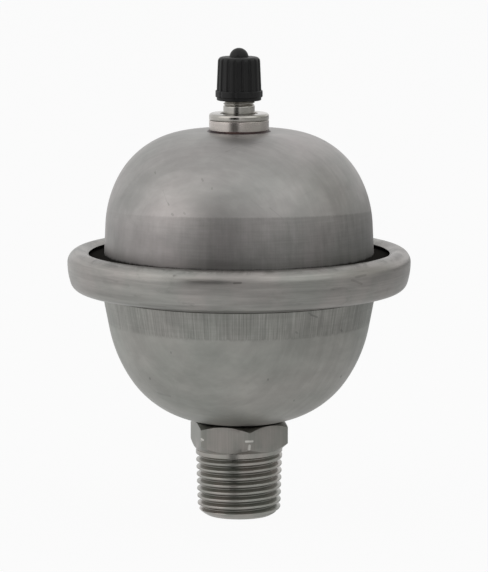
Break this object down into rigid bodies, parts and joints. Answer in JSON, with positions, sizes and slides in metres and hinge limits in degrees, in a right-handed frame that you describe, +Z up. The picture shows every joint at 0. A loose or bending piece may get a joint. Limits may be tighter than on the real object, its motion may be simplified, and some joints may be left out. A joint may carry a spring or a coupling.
{
  "type": "expansion tank",
  "caption": "Small stainless expansion tank: drawn dome and bowl in a rolled clamp ring over a rubber diaphragm, tapered pipe connector below, capped inflation valve above.",
  "frame": {"origin": "centre of the water connector's end face, which is the lowest face", "axes": "+Z up along the tank's axis, from the connector to the valve cap; the hexagon's corners point along X"},
  "size_m": [0.0844, 0.0844, 0.1157],
  "materials": {
    "shell_steel": "satin drawn stainless",
    "ring_steel": "satin rolled stainless",
    "connector_steel": "turned stainless",
    "boss_steel": "turned stainless",
    "weld_tint": "heat-tinted weld",
    "stem_nickel": "nickel-plated brass",
    "diaphragm_rubber": "matte",
    "seal_rubber": "matte",
    "core_brass": "turned brass",
    "core_seal_red": "smooth",
    "spring_steel": "bright wire",
    "cap_black": "fine satin"
  },
  "bodies": {
    "tank": {"upper_shell": "shell_steel", "lower_shell": "shell_steel", "clamp_ring": "ring_steel", "diaphragm": "diaphragm_rubber", "water_connector": "connector_steel", "valve_boss": "boss_steel", "boss_weld": "weld_tint", "stem_seal": "seal_rubber", "valve_stem": "stem_nickel", "core_plug": "core_brass", "core_barrel": "core_brass", "barrel_seal": "core_seal_red", "core_spring": "spring_steel"},
    "pin": {"core_pin": "core_brass", "pin_cup": "core_brass", "cup_seal": "seal_rubber"},
    "seal": {"cap_seal": "seal_rubber"},
    "cap": {"valve_cap": "cap_black"}
  },
  "joints": [
    {"name": "pin_press", "type": "slide", "parent": "tank", "child": "pin", "axis": [0, 0, -1], "range_m": [0, 0.0012], "stiffness_N_per_m": 600, "springref_m": -0.0006, "deforming": ["core_spring"]},
    {"name": "cap_lift", "type": "slide", "parent": "tank", "child": "seal", "axis": [0, 0, 1], "range_m": [0, 0.00754]},
    {"name": "cap_turn", "type": "hinge", "parent": "seal", "child": "cap", "pos_m": [0, 0, 0.108], "axis": [0, 0, 1], "range_deg": [0, 3420]}
  ],
  "couplings": [
    {"joint": "cap_turn", "follows": "cap_lift", "rad_per_m": 7915.8}
  ]
}
